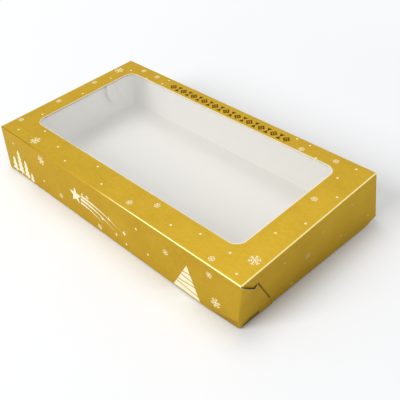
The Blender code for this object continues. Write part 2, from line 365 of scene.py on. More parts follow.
def rounded_loop(bm, left, right, front, back, height, radius):
    """The edges of a level rectangle with rounded corners."""
    face = rectangle(bm, left, right, front, back, height)
    rounded = bmesh.ops.bevel(
        bm, geom=face.verts[:], offset=radius, offset_type="OFFSET", affect="VERTICES",
        segments=CORNER_STEPS, profile=0.5, material=-1,
    )
    loop = set(rounded["verts"])
    inner = [part for part in bm.faces if set(part.verts) <= loop]
    bmesh.ops.delete(bm, geom=inner, context="FACES_ONLY")
    return [edge for edge in bm.edges if set(edge.verts) <= loop]


def draw_in(bm, loop, outer, inner):
    """Draw a rounded rectangle in to a smaller one, corner to corner.

    Each is (left, right, front, back, corner radius).
    """
    drawn = bmesh.ops.extrude_edge_only(bm, edges=loop)["geom"]
    verts = {part for part in drawn if isinstance(part, bmesh.types.BMVert)}
    middle_x, middle_y = (outer[0] + outer[1]) / 2, (outer[2] + outer[3]) / 2
    for vert in verts:
        x_side = 1 if vert.co.x > middle_x else -1
        y_side = 1 if vert.co.y > middle_y else -1
        centres = []
        for left, right, front, back, radius in (outer, inner):
            x = (right if x_side > 0 else left) - x_side * radius
            y = (back if y_side > 0 else front) - y_side * radius
            centres.append(Vector((x, y, vert.co.z)))
        vert.co = centres[1] + (vert.co - centres[0]) * inner[4] / outer[4]
    edges = [part for part in drawn if isinstance(part, bmesh.types.BMEdge)]
    return [edge for edge in edges if set(edge.verts) <= verts]


def clamp(share):
    """A share held between 0 and 1."""
    return min(max(share, 0), 1)


def bend_wear_and_highlight(turn):
    """Wear of the print, and its painted highlight, at an angle round a bend, most half way round.
    """
    return 1 - abs(turn - QUARTER / 2) / (QUARTER / 2)


bm = bmesh.new()
crease = bm.verts.layers.float.new("crease")
half_x = LID_LENGTH / 2 - END_INSET - FOLD
half_y = LID_WIDTH / 2 - FOLD
left, right, front, back = WINDOW
panel = (-half_x, half_x, -half_y, half_y, RIM_RADIUS)
printed = (
    left - BARE_MARGINS[0], right + BARE_MARGINS[1],
    front - BARE_MARGINS[2], back + BARE_MARGINS[3], WINDOW_RADIUS + BARE_MARGINS[2],
)
rim = rounded_loop(bm, *panel[:4], LID_TOP, RIM_RADIUS)
print_end = draw_in(bm, rim, panel, printed)
printed_faces = set(bm.faces)
draw_in(bm, print_end, printed, (*WINDOW, WINDOW_RADIUS))
bare_faces = [face for face in bm.faces if face not in printed_faces]
hinge_line = [
    edge for edge in rim if all(abs(vert.co.y - half_y) < SAME_PLACE for vert in edge.verts)
]
bmesh.ops.spin(
    bm, geom=hinge_line, cent=(0, half_y, LID_TOP - FOLD), axis=(-1, 0, 0), angle=QUARTER,
    steps=FOLD_STEPS,
)
# The hinge bend is worn bare with a painted highlight
for vert in bm.verts:
    turn = math.asin(clamp((vert.co.y - half_y) / FOLD))
    vert[crease] = HINGE_WEAR_AND_HIGHLIGHT * bend_wear_and_highlight(turn)
bm.normal_update()
bmesh.ops.reverse_faces(bm, faces=[face for face in bm.faces if face.normal.z + face.normal.y < 0])
give_board_thickness(bm)
for face in bare_faces:
    face.material_index = CUT
add_piece("lid_top_board", bm, BOARD_SIDES, "lid", "lid_top_panel")


# Lid, walls: the front and the two ends turn down from the top panel round quarter bends,
# where the gold is rubbed to bare paper with a painted highlight. Painted shade darkens the
# front bend's left part, the tucked corner and the ends' feet. The ends are held only at the
# front, so their back corners stand out, and the whole skirt has spread and twisted a little
# with handling.
LID_DEPTH = 0.054
TAB_CLEARANCE = 0.0003            # round a tongue in its slit, and under the fold at the corner
END_SETBACK = 0.0007              # free back edge of an end wall, in front of the box's back
END_RISE = 0.0030                 # its lower corner is cut away, this much
END_RISE_LENGTH = 0.015           # over this length
SLIT_CORNER_INSET = 0.0207
SLIT_FOLD_MARGIN = 0.0125
SLIT_RIM_MARGIN = 0.0085
SLIT_LEAN = math.radians(28)
SLIT_SPRUNG = 0.0004              # how far the tongue has pushed the slit open

# How far the skirt's free edge has moved at each corner, by the corner's X and Y sides
RIM_SPREAD = {
    (-1, -1): (0.0000, -0.0035), (1, -1): (-0.0032, -0.0030),
    (1, 1): (0.0060, 0.0000), (-1, 1): (-0.0030, 0.0000),
}
FRONT_BAND = 0.1                  # bulge and tuck fade out over this share of half the width
BULGE = 0.0010                    # front wall, near the right corner,
BULGE_START = 0.55                # from this share of the way to it
CORNER_TUCK = 0.0020              # its lower right corner is bent in, this much,
CORNER_TUCK_HEIGHT = 0.0125       # below a crease that rises this far
CORNER_TUCK_LENGTH = 0.0400       # over this length
TUCK_CREASE = 0.0008              # the crease is this wide,
TUCK_PAINTED_SHADE = -0.55                # and the gold below it is painted this dark, as shade
FRONT_FOLD_SHADE_UNTIL = -0.130               # left of here the front fold is painted dark as shade, not worn
FRONT_FOLD_HIGHLIGHT_FROM = 0.060
FRONT_WEAR_AND_HIGHLIGHT = 1.25                 # wear and painted highlight of the front fold right of there
END_WEAR_AND_HIGHLIGHT = 2.0                    # wear and painted highlight of the end folds
FOOT_DROP = 0.0008                # an end wall's front foot shows under the tab's lower edge
FOOT_LENGTH = 0.0290
FOOT_SHADE_HEIGHT = 0.0075               # this much of its height is painted dark as shade under the tab,
FOOT_SIDE_FADE = 0.0010           # which fades out over this much along the wall
FOOT_TOP_FADE = 0.0006            # and over this much upward
HAIR = 0.0001                     # a point this near to a line counts as on it
WALL_SPACING = 0.012              # a wall can bend this often along its length
WALL_DEPTH_SPACING = 0.0025       # and this often down its depth


def below_tuck(x, foot, z):
    """How far a point of the front wall lies below the crease of its bent corner."""
    share = 1 - (LID_LENGTH / 2 - x) / CORNER_TUCK_LENGTH
    return max(CORNER_TUCK_HEIGHT * clamp(share) - (z - foot), 0)


def settle_lid(bm):
    """Spread and twist the skirt as on the real lid."""
    for vert in bm.verts:
        x, y, z = vert.co
        down = max((LID_TOP - z) / LID_DEPTH, 0)
        along, across = 2 * x / LID_LENGTH, 2 * y / LID_WIDTH
        for (x_side, y_side), (out_x, out_y) in RIM_SPREAD.items():
            share = (1 + x_side * along) / 2 * (1 + y_side * across) / 2 * down
            vert.co.x += share * out_x
            vert.co.y += share * out_y
        near_corner = clamp((along - BULGE_START) / (1 - BULGE_START))
        below = below_tuck(x, LID_TOP - LID_DEPTH, z)
        near_front = clamp(1 - (across + 1) / FRONT_BAND)
        vert.co.y += near_front * CORNER_TUCK * below / CORNER_TUCK_HEIGHT
        vert.co.y -= near_front * BULGE * near_corner ** 2 * math.sin(math.pi * min(down, 1) ** 2)


def wall_sheet(length, depth):
    """The outer face of a wall with its quarter bend, seen from outside.

    The face is at y = 0 with the inside at +y, the fold at z = 0 and the free edge below.
    """
    bm = bmesh.new()
    crease = bm.verts.layers.float.new("crease")
    ends = [bm.verts.new((x, FOLD, 0)) for x in (-length / 2, length / 2)]
    edge = bm.edges.new(ends)
    turned = bmesh.ops.spin(
        bm, geom=[edge], cent=(0, FOLD, -FOLD), axis=(1, 0, 0), angle=QUARTER,
        steps=FOLD_STEPS,
    )
    last = [part for part in turned["geom_last"] if isinstance(part, bmesh.types.BMEdge)]
    for vert in bm.verts:
        vert[crease] = bend_wear_and_highlight(math.asin(clamp(1 - vert.co.y / FOLD)))
    hung = bmesh.ops.extrude_edge_only(bm, edges=last)
    free = [part for part in hung["geom"] if isinstance(part, bmesh.types.BMVert)]
    bmesh.ops.translate(bm, verts=free, vec=(0, 0, FOLD - depth))
    bm.normal_update()
    bmesh.ops.reverse_faces(bm, faces=[face for face in bm.faces if face.normal.y > 0])
    score(bm, (1, 0, 0), steps_between(-length / 2, length / 2, WALL_SPACING))
    score(bm, (0, 0, 1), steps_between(-depth, -FOLD, WALL_DEPTH_SPACING))
    return bm


def lock_point(beyond, along):
    """Distance from the corner and from the fold of a point of the corner lock.

    beyond counts from the slit's line away from the corner, along counts down the slit.
    """
    inward = SLIT_CORNER_INSET + beyond * math.cos(SLIT_LEAN) + along * math.sin(SLIT_LEAN)
    down = SLIT_FOLD_MARGIN + along * math.cos(SLIT_LEAN) - beyond * math.sin(SLIT_LEAN)
    return inward, down


def slit_length(depth):
    """Length of the lock's slit in a wall of this depth."""
    return (depth - SLIT_FOLD_MARGIN - SLIT_RIM_MARGIN) / math.cos(SLIT_LEAN)


def cut_slit(bm, side, to_corner, depth):
    """Open the slanted slit on one side of an end wall, where a tongue steps through."""
    slant = TAB_CLEARANCE * math.sqrt(2)
    near, far = -BOARD * math.sqrt(2) - slant, BOARD + slant + SLIT_SPRUNG
    length = slit_length(depth)
    across = Vector((-side * math.cos(SLIT_LEAN), 0, math.sin(SLIT_LEAN)))
    down_slit = Vector((-side * math.sin(SLIT_LEAN), 0, -math.cos(SLIT_LEAN)))
    top = Vector((side * (to_corner - SLIT_CORNER_INSET), 0, -SLIT_FOLD_MARGIN))
    for direction, place in ((across, near), (across, far), (down_slit, 0), (down_slit, length)):
        cut_through(bm, top + direction * place, direction)
    open_faces = []
    for face in bm.faces:
        from_top = face.calc_center_median() - top
        if near < from_top.dot(across) < far and 0 < from_top.dot(down_slit) < length:
            open_faces.append(face)
    bmesh.ops.delete(bm, geom=open_faces, context="FACES")


def trim_free_corner(bm, side, to_end, depth):
    """Cut the lower free corner of a lid's end wall away on a slant."""
    cut_through(
        bm, (side * to_end, 0, END_RISE - depth), (side * END_RISE, 0, -END_RISE_LENGTH),
        clear_outer=True,
    )


def lower_foot(bm, side, to_corner, depth):
    """Let the front foot of a lid's end wall reach the table, with painted shade under the tab."""
    crease = bm.verts.layers.float["crease"]
    start = side * (to_corner - FOOT_LENGTH)
    top = FOOT_SHADE_HEIGHT - depth
    score(bm, (1, 0, 0), [start, start + side * FOOT_SIDE_FADE])
    score(bm, (0, 0, 1), [top, top + FOOT_TOP_FADE])
    for vert in bm.verts:
        # The foot's lower part is painted dark as shade
        if side * (vert.co.x - start) > FOOT_SIDE_FADE / 2 and vert.co.z < top + HAIR:
            vert[crease] = -1
            if vert.co.z < HAIR - depth:
                vert.co.z -= FOOT_DROP


def stand_wall(bm, place, heading, upright):
    """Turn a wall from its own frame to its place on a blank; upright for a tray's wall."""
    flip = Matrix.Rotation(math.pi if upright else 0, 4, "X")
    turn = Matrix.Rotation(heading + (math.pi if upright else 0), 4, "Z")
    bmesh.ops.transform(bm, matrix=Matrix.Translation(place) @ turn @ flip, verts=bm.verts)


lid_front_length = LID_LENGTH - 2 * FOLD
bm = wall_sheet(lid_front_length, LID_DEPTH)
crease = bm.verts.layers.float["crease"]
# The front bend is painted dark as shade at the left, and worn bare with a painted highlight to the
# right
for vert in bm.verts:
    along = clamp((vert.co.x - FRONT_FOLD_SHADE_UNTIL) / (FRONT_FOLD_HIGHLIGHT_FROM - FRONT_FOLD_SHADE_UNTIL))
    vert[crease] *= -1 + (1 + FRONT_WEAR_AND_HIGHLIGHT) * along
across_tuck = Vector((-CORNER_TUCK_HEIGHT, 0, CORNER_TUCK_LENGTH)).normalized()
tuck_start = Vector((LID_LENGTH / 2 - CORNER_TUCK_LENGTH, 0, -LID_DEPTH))
score(bm, across_tuck, [tuck_start.dot(across_tuck) - step for step in (0, TUCK_CREASE)])
# The gold below the tuck's crease is painted dark as shade
for vert in bm.verts:
    if below_tuck(vert.co.x, -LID_DEPTH, vert.co.z) > TUCK_CREASE / 2:
        vert[crease] = TUCK_PAINTED_SHADE
stand_wall(bm, (0, -LID_WIDTH / 2, LID_TOP), 0, upright=False)
settle_lid(bm)
give_board_thickness(bm)
add_piece("lid_front_wall_board", bm, BOARD_SIDES, "lid", "lid_front_wall")

lid_end_x = LID_LENGTH / 2 - END_INSET
lid_end_front = -LID_WIDTH / 2 + FOLD
lid_end_back = LID_WIDTH / 2 - END_SETBACK
lid_end_middle = (lid_end_front + lid_end_back) / 2
for label, side in (("right_end_wall", 1), ("left_end_wall", -1)):
    bm = wall_sheet(lid_end_back - lid_end_front, LID_DEPTH)
    crease = bm.verts.layers.float["crease"]
    # The end bends are worn bare with a painted highlight
    for vert in bm.verts:
        vert[crease] *= END_WEAR_AND_HIGHLIGHT
    cut_slit(bm, -side, lid_end_middle + LID_WIDTH / 2, LID_DEPTH)
    lower_foot(bm, -side, lid_end_middle + LID_WIDTH / 2, LID_DEPTH)
    trim_free_corner(bm, side, lid_end_back - lid_end_middle, LID_DEPTH)
    stand_wall(bm, (side * lid_end_x, lid_end_middle, LID_TOP), side * QUARTER, upright=False)
    settle_lid(bm)
    give_board_thickness(bm)
    add_piece(f"lid_{label}_board", bm, BOARD_SIDES, "lid", f"lid_{label}")


# Lid, corner tabs: the front wall ends in tabs that wrap round the corners outside the end
# walls. Each tongue steps in through its slanted slit and springs a little off the inner face.
LAYER = 0.0008                    # a layer of board and its clearance
SLIT_END_GAP = 0.0005
TAB_SHOULDER = 0.0049
TAB_FREE_EDGE_SETBACK = 0.0011
TAB_RELIEF_LENGTH = 0.026         # raised part of the tab's lower edge
TAB_RELIEF_STEP = 0.0050          # its height at its inner end, half way and at the corner
TAB_RELIEF_HEIGHT = 0.0064
TAB_RELIEF_CORNER = 0.0008
TONGUE_TIP_RADIUS = 0.41          # these three are shares of the tongue's root
TONGUE_TIP_ALONG = 0.70
TONGUE_TIP_BEYOND = 0.045
TONGUE_TIP_END = math.radians(73)
TIP_STEPS = 20
TAB_LIFT = 0.0026                 # how far the tab's upper edge stands off the wall,
TAB_LIFT_DEPTH = 0.55             # less and less down to this share of the depth
TONGUE_CURL = 0.0045              # how far the tongue's tip springs away from the wall
TONGUE_LENGTH = 0.016             # over about this length
STEP_CUTS = 3                     # bends of the step inward, on each side of its middle
STEP_PAINTED_SHADE = (0.2, 0.99)         # from here to here, as shares, the step is painted dark as the slit's shade
TAB_SPACING = 0.003               # a tab can bend this often,
TAB_REACH = 0.050                 # out to here from the corner
CUT_PAINTED_SHADE = (0.22, 0.18, 0.13, 1)

# The tongue's cut edge is painted dark, as the shade in the gap between tongue and wall
TAB_SIDES = (*BOARD_SIDES, cut_edge("shaded_cut_edge", CUT_PAINTED_SHADE))
SHADED_CUT = len(BOARD_SIDES)


def tab_outline(depth):
    """Outline of a corner tab, inward from the corner and down from the fold."""
    root = slit_length(depth) - 2 * SLIT_END_GAP
    radius = TONGUE_TIP_RADIUS * root
    centre = Vector((TONGUE_TIP_BEYOND * root, SLIT_END_GAP + TONGUE_TIP_ALONG * root))
    start = Vector((LAYER, SLIT_END_GAP)) - centre
    first = math.atan2(start.y, start.x) + math.acos(radius / start.length)
    swing = (TONGUE_TIP_END - first) / TIP_STEPS
    turns = [first + swing * step for step in range(TIP_STEPS + 1)]
    tip = [(centre.x + radius * math.cos(a), centre.y + radius * math.sin(a)) for a in turns]

    root_end = SLIT_END_GAP + root
    lock = [(-TAB_SHOULDER, SLIT_END_GAP), (LAYER, SLIT_END_GAP)] + tip
    lock += [(LAYER, root_end), (-TAB_FREE_EDGE_SETBACK, root_end)]
    points = [(0, FOLD + TAB_CLEARANCE)] + [lock_point(*place) for place in lock]
    inward, down = points[-1]
    points.append((inward + (depth - down) * math.tan(SLIT_LEAN), depth))
    return points + [
        (TAB_RELIEF_LENGTH, depth), (TAB_RELIEF_LENGTH, depth - TAB_RELIEF_STEP),
        (TAB_RELIEF_LENGTH / 2, depth - TAB_RELIEF_HEIGHT), (0, depth - TAB_RELIEF_CORNER),
    ]


def tab_board(depth):
    """A tab with thickness, folded round the near right corner from the corner's own point."""
    bm = bmesh.new()
    bm.faces.new([bm.verts.new((0, inward, -down)) for inward, down in tab_outline(depth)])
    across = Vector((0, math.cos(SLIT_LEAN), math.sin(SLIT_LEAN)))
    slit_top = Vector((0, SLIT_CORNER_INSET, -SLIT_FOLD_MARGIN))
    for step in range(-STEP_CUTS, STEP_CUTS + 1):
        cut_through(bm, slit_top + across * LAYER * step / STEP_CUTS, across)
    turns = [QUARTER * step / FOLD_STEPS for step in range(1, FOLD_STEPS + 1)]
    score(bm, (0, 1, 0), [FOLD * (1 - math.cos(turn)) for turn in turns])
    score(bm, (0, 1, 0), steps_between(FOLD, TAB_REACH, TAB_SPACING))
    score(bm, (0, 0, 1), steps_between(-depth, 0, TAB_SPACING))

    slit_reach = 2 * LAYER
    crease = bm.verts.layers.float.new("crease")
    for vert in bm.verts:
        inward, down = vert.co.y, -vert.co.z
        beyond = (vert.co - slit_top).dot(across)
        share = clamp((beyond + LAYER) / slit_reach)
        step_in = slit_reach * (3 * share ** 2 - 2 * share ** 3)
        # The step through the slit is painted dark as shade
        if STEP_PAINTED_SHADE[0] < share < STEP_PAINTED_SHADE[1] and down > SLIT_FOLD_MARGIN - LAYER:
            vert[crease] = -1
        to_flat = max(FOLD - inward, 0)
        vert.co.x = math.sqrt(FOLD ** 2 - to_flat ** 2) - FOLD - step_in
        if beyond < -LAYER:
            free = math.sin(math.pi * min(inward / SLIT_CORNER_INSET, 1))
            vert.co.x += TAB_LIFT * free * max(1 - down / (TAB_LIFT_DEPTH * depth), 0)
        elif beyond > LAYER:
            vert.co.x -= TONGUE_CURL * ((beyond - LAYER) / TONGUE_LENGTH) ** 2
    bm.normal_update()
    bmesh.ops.reverse_faces(bm, faces=[face for face in bm.faces if face.normal.x < 0])
    give_board_thickness(bm)
    # The tongue's cut edge beyond the slit is painted dark as shade
    for face in bm.faces:
        beyond = (face.calc_center_median() - slit_top).dot(across)
        if face.material_index == CUT and beyond > LAYER:
            face.material_index = SHADED_CUT
    return bm


def place_tab(bm, x_side, y_side, upside_down, corner):
    """Mirror a tab to its corner of a blank, keeping its faces outward."""
    z_side = -1 if upside_down else 1
    mirror = Matrix.Diagonal((x_side, -y_side, z_side, 1))
    bmesh.ops.transform(bm, matrix=Matrix.Translation(corner) @ mirror, verts=bm.verts)
    if x_side * -y_side * z_side < 0:
        bmesh.ops.reverse_faces(bm, faces=bm.faces[:])


for column, x_side in (("left", -1), ("right", 1)):
    bm = tab_board(LID_DEPTH)
    place_tab(bm, x_side, -1, False, (x_side * LID_LENGTH / 2, -LID_WIDTH / 2, LID_TOP))
    settle_lid(bm)
    tab_name = f"lid_front_{column}_tab"
    add_piece(f"{tab_name}_board", bm, TAB_SIDES, "lid", tab_name)


# Window film: clear polypropylene, glued under the top panel round the window. It is pulled
# nearly flat, with a faint ripple that shows only in what it mirrors.
FILM = 0.0002
FILM_OVERLAP = 0.008
FILM_UNDERSIDE = 0.0540
FILM_SPACING = 0.02
FILM_SHEEN = (0.96, 0.97, 0.98, 1)            # of what it mirrors
FILM_CLEAR = (0.994, 0.995, 0.996, 1)         # of what shows through it
FILM_MIRROR = 0.04                # share mirrored when looked at straight
FILM_GRAZING = 2.2                # the higher, the later it grows toward a grazing look


def clear_film():
    """Clear film: most light goes through, and its two faces mirror more at a grazing look."""
    material, tree, shader, place = new_finish(
        "clear_film", Roughness=0.10, Metallic=1.0, Base_Color=FILM_SHEEN
    )
    clear = add_node(tree, "ShaderNodeBsdfTransparent", {"Color": FILM_CLEAR})
    turned = add_node(tree, "ShaderNodeLayerWeight", {"Blend": 0.5}).outputs["Facing"]
    grazing = combine(tree, "POWER", turned, FILM_GRAZING)
    share = between(tree, grazing, FILM_MIRROR, 1.0, from_low=0.0, from_high=1.0)
    mix = add_node(
        tree, "ShaderNodeMixShader", {0: share, 1: clear.outputs[0], 2: shader.outputs[0]}
    )
    tree.links.new(mix.outputs[0], tree.nodes["Material Output"].inputs["Surface"])
    ripple = speckle(tree, place, size=0.05, stretch=(1, 1.6, 1))
    emboss(tree, shader, ripple, strength=0.2, depth=0.0008)
    return material


bm = bmesh.new()
film = (left - FILM_OVERLAP, right + FILM_OVERLAP, front - FILM_OVERLAP, back + FILM_OVERLAP)
rectangle(bm, *film, FILM_UNDERSIDE)
score(bm, (1, 0, 0), steps_between(*film[:2], FILM_SPACING))
score(bm, (0, 1, 0), steps_between(*film[2:], FILM_SPACING))
bm.normal_update()
bmesh.ops.reverse_faces(bm, faces=[face for face in bm.faces if face.normal.z > 0])
bmesh.ops.solidify(bm, geom=bm.faces[:], thickness=FILM)
add_piece("lid_window_film_sheet", bm, [clear_film()], "lid", "lid_window_film")


# Tray: the rest of the blank, folded upward from the floor, with the same locks at all four
# corners and its white side in. The walls spring outward, most of all the back one, whose
# top the lid draws back. Its outside is gold too.
TRAY_LENGTH = 0.3498
TRAY_FRONT = -0.0915
TRAY_BACK = 0.0950
TRAY_DEPTH = 0.0542
BACK_WALL_DEPTH = 0.0535          # floor to the hinge
TRAY_END_LEAN = 0.0030            # how far the floor's ends lie inside the rim
TRAY_BACK_LEAN = 0.0092           # the same for its back edge


def settle_tray(bm):
    """Lean the walls outward from the floor."""
    for vert in bm.verts:
        low = 1 - vert.co.z / TRAY_DEPTH
        back_share = (vert.co.y - TRAY_FRONT) / (TRAY_BACK - TRAY_FRONT)
        vert.co.x *= 1 - low * TRAY_END_LEAN / (TRAY_LENGTH / 2)
        vert.co.y -= low * TRAY_BACK_LEAN * back_share


bm = bmesh.new()
tray_end_x = TRAY_LENGTH / 2 - END_INSET
floor_x = tray_end_x - FOLD
rectangle(bm, -floor_x, floor_x, TRAY_FRONT + FOLD, TRAY_BACK - FOLD, 0)
bm.normal_update()
bmesh.ops.reverse_faces(bm, faces=[face for face in bm.faces if face.normal.z > 0])
give_board_thickness(bm)
settle_tray(bm)
add_piece("tray_floor_board", bm, BOARD_SIDES, "tray", "tray_floor")

tray_long = TRAY_LENGTH - 2 * FOLD
tray_middle = (TRAY_FRONT + TRAY_BACK) / 2
tray_across = TRAY_BACK - TRAY_FRONT
for label, length, depth, place, heading in (
    ("front_wall", tray_long, TRAY_DEPTH, (0, TRAY_FRONT, 0), 0),
    ("back_wall", tray_long, BACK_WALL_DEPTH, (0, TRAY_BACK, 0), 2 * QUARTER),
    ("right_end_wall", tray_across - 2 * FOLD, TRAY_DEPTH, (tray_end_x, tray_middle, 0), QUARTER),
    ("left_end_wall", tray_across - 2 * FOLD, TRAY_DEPTH, (-tray_end_x, tray_middle, 0), -QUARTER),
):
    bm = wall_sheet(length, depth)
    if "end" in label:
        cut_slit(bm, 1, tray_across / 2, depth)
        cut_slit(bm, -1, tray_across / 2, depth)
    stand_wall(bm, place, heading, upright=True)
    settle_tray(bm)
    give_board_thickness(bm)
    add_piece(f"tray_{label}_board", bm, BOARD_SIDES, "tray", f"tray_{label}")

for row, y_side, y in (("front", -1, TRAY_FRONT), ("back", 1, TRAY_BACK)):
    for column, x_side in (("left", -1), ("right", 1)):
        bm = tab_board(TRAY_DEPTH)
        place_tab(bm, x_side, y_side, True, (x_side * TRAY_LENGTH / 2, y, 0))
        settle_tray(bm)
        tab_name = f"tray_{row}_{column}_tab"
        add_piece(f"{tab_name}_board", bm, TAB_SIDES, "tray", tab_name)


# Print, flakes and dots: cream ink over the gold, strewn over the lid's rim and its walls. Each
# flake is one arm turned six times about a small hexagon, the snowflake of any winter paper.
INK = 0.00002                     # thickness of the ink
INK_LIFT = 0.00003                # its clearance from the board's face
INK_CREAM = (0.93, 0.87, 0.63, 1)
INK_THIN = (0.90, 0.81, 0.50, 1)
INK_FINE = (0.95, 0.86, 0.52, 1)
INK_FINE_THIN = (0.90, 0.77, 0.38, 1)
# the end walls' ink: the cream ink darkened with painted shade
INK_SHADED = (0.66, 0.55, 0.30, 1)
INK_SHADED_THIN = (0.56, 0.42, 0.12, 1)
ARM_TURN = math.tau / 6           # from one arm of a flake to the next
DOT_EDGES = 20
FLAKE_TURN = 0.37                 # radians from each flake to the next in a list


def cream_ink(name, thin, full):
    """Cream ink, a little thinner wherever the fibres of the board come through."""
    material, tree, shader, place = new_finish(name)
    patch = speckle(tree, place, size=0.0008, detail=3)
    share = between(tree, patch, 0, 1, from_low=0.35, from_high=0.6)
    tree.links.new(blend_colours(tree, share, thin, full), shader.inputs["Base Color"])
    tree.links.new(between(tree, patch, 0.42, 0.55), shader.inputs["Roughness"])
    return material


CREAM = cream_ink("cream_ink", INK_THIN, INK_CREAM)
CREAM_FINE = cream_ink("fine_cream_ink", INK_FINE_THIN, INK_FINE)
CREAM_SHADED = cream_ink("shaded_cream_ink", INK_SHADED_THIN, INK_SHADED)


def flake(reach, line, branches):
    """A flat flake about the origin; branches are (place along an arm, length)."""
    half = line / 2
    side = [(half * math.sqrt(3), half)]
    for root, length in branches:
        tip = Vector((root + length / 2, half + length * math.sin(ARM_TURN)))
        thick = line / math.sin(ARM_TURN)
        side += [(root, half), tip, (tip.x + thick, tip.y), (root + thick, half)]
    side.append((reach, half))
    bm = bmesh.new()
    bmesh.ops.create_circle(bm, cap_ends=True, segments=6, radius=line)
    outline = side + [(x, -y) for x, y in reversed(side)]
    arm = bm.faces.new([bm.verts.new((x, y, 0)) for x, y in reversed(outline)])
    bmesh.ops.spin(
        bm, geom=[arm] + arm.edges[:] + arm.verts[:], cent=(0, 0, 0), axis=(0, 0, 1),
        angle=5 * ARM_TURN, steps=5, use_duplicate=True,
    )
    bmesh.ops.remove_doubles(bm, verts=bm.verts, dist=SAME_PLACE)
    return bm


def dot(radius):
    """A flat round dot about the origin."""
    bm = bmesh.new()
    bmesh.ops.create_circle(bm, cap_ends=True, segments=DOT_EDGES, radius=radius)
    return bm


def motif(name, bm):
    """Keep a flat motif, face up, so that a print can repeat it."""
    bm.normal_update()
    bmesh.ops.reverse_faces(bm, faces=[face for face in bm.faces if face.normal.z < 0])
    mesh = bpy.data.meshes.new(name)
    bm.to_mesh(mesh)
    bm.free()
    return mesh


LARGE_FLAKE = motif("large_flake", flake(
    reach=0.0058, line=0.00070, branches=((0.0021, 0.0012), (0.0038, 0.0016))
))
SMALL_FLAKE = motif("small_flake", flake(
    reach=0.0035, line=0.00052, branches=((0.0018, 0.0011),)
))
DOT = motif("dot", dot(radius=0.0012))


def stamp(bm, mesh, x, y, turn=0.0, size=1.0):
    """Add a motif to a print, at x and y millimetres on its sheet."""
    first = len(bm.verts)
    bm.from_mesh(mesh)
    bm.verts.ensure_lookup_table()
    place = Matrix.Translation((x / 1000, y / 1000, 0))
    turned = Matrix.Rotation(turn, 4, "Z") @ Matrix.Scale(size, 4)
    bmesh.ops.transform(bm, matrix=place @ turned, verts=bm.verts[first:])


def strewn(large, small, dots):
    """A sheet of flakes and dots, each turned a little differently from the last."""
    bm = bmesh.new()
    for mesh, places in ((LARGE_FLAKE, large), (SMALL_FLAKE, small), (DOT, dots)):
        for count, (x, y) in enumerate(places):
            stamp(bm, mesh, x, y, turn=FLAKE_TURN * count)
    return bm


def lay_print(name, bm, ink, place):
    """Lay a flat print on the lid's outside and give the ink its thickness."""
    bmesh.ops.translate(bm, verts=bm.verts, vec=(0, 0, INK + INK_LIFT))
    bmesh.ops.transform(bm, matrix=place, verts=bm.verts)
    settle_lid(bm)
    bm.normal_update()
    bmesh.ops.solidify(bm, geom=bm.faces[:], thickness=INK)
    add_piece(name, bm, [ink], "lid")


def wall_print(name, bm, ink, length, heading, middle):
    """Lay a print on a wall of the lid, bending it where the wall bends.

    x runs along the wall from its middle to the right, y up from the table.
    """
    bmesh.ops.translate(bm, verts=bm.verts, vec=(0, -LID_TOP, 0))
    score(bm, (1, 0, 0), steps_between(-length / 2, length / 2, WALL_SPACING))
    score(bm, (0, 1, 0), steps_between(-LID_DEPTH, -FOLD, WALL_DEPTH_SPACING))
    upright = Matrix.Rotation(heading, 4, "Z") @ Matrix.Rotation(QUARTER, 4, "X")
    lay_print(name, bm, ink, Matrix.Translation(middle) @ upright)


top_flakes = strewn(
    large=[(-171, 69), (-124, -86), (168, -66)],
    small=[
        (-172, 31), (-171, -22), (-172, -73), (-145, 87), (-121, 87), (102, 80), (140, 85),
        (158, 27), (32, -86), (55, -72), (140, -88),
    ],
    dots=[
        (-159, 78), (-164, 50), (-162, 6), (-162, -51), (-157, -86), (-129, 77), (-104, 80),
        (-103, 90), (88, 91), (105, 90), (122, 77), (162, 87), (156, 65), (172, 42),
        (172, -4), (160, -30), (167, -87), (-131, -69), (-95, -77), (-69, -87), (-35, -71),
        (-10, -86), (84, -82), (112, -73), (147, -73),
    ],
)
on_top = Matrix.Translation((0, 0, LID_TOP))
lay_print("lid_top_flakes", top_flakes, CREAM_FINE, on_top)

front_middle = (0, -LID_WIDTH / 2, LID_TOP)
front_flakes = strewn(
    large=[(-104, 44), (153, 16)],
    small=[(-75, 12), (-9, 7), (90, 35), (144, 44)],
    dots=[(-159, 41), (-106, 16), (-33, 36), (50, 39), (65, 16)],
)
wall_print("lid_front_flakes", front_flakes, CREAM_FINE, lid_front_length, 0, front_middle)

end_length = lid_end_back - lid_end_front
# The end walls carry the cream ink darkened with painted shade
for label, side in (("right", 1), ("left", -1)):
    end_flakes = strewn(
        large=[], small=[(-8 * side, 24)],
        dots=[(57 * side, 41), (81 * side, 13), (13 * side, 38), (40 * side, 15),
              (-40 * side, 39), (-29 * side, 6)],
    )
    wall_print(
        f"lid_{label}_flakes", end_flakes, CREAM_SHADED, end_length, side * QUARTER,
        (side * lid_end_x, lid_end_middle, LID_TOP),
    )


# Print, border: a row of diamonds and hourglasses in dark brown ink along the back of the
# lid's rim, the plain geometric edging of a gift box.
INK_BROWN = (0.085, 0.030, 0.001, 1)
INK_BROWN_WORN = (0.120, 0.046, 0.001, 1)
BORDER_Y = 83.6                   # millimetres, as are the next two
BORDER_PITCH = 8.4
BORDER_MIDDLE = -4                # the row's middle lies a little to the left
BORDER_SIDE = 10                  # motifs on each side of the one in the middle
DIAMOND_REACH = 0.0046
DIAMOND_FRAME = 0.0021
DIAMOND_HEART = 0.0015
HOURGLASS = (0.0028, 0.0045)      # half its width, half its height


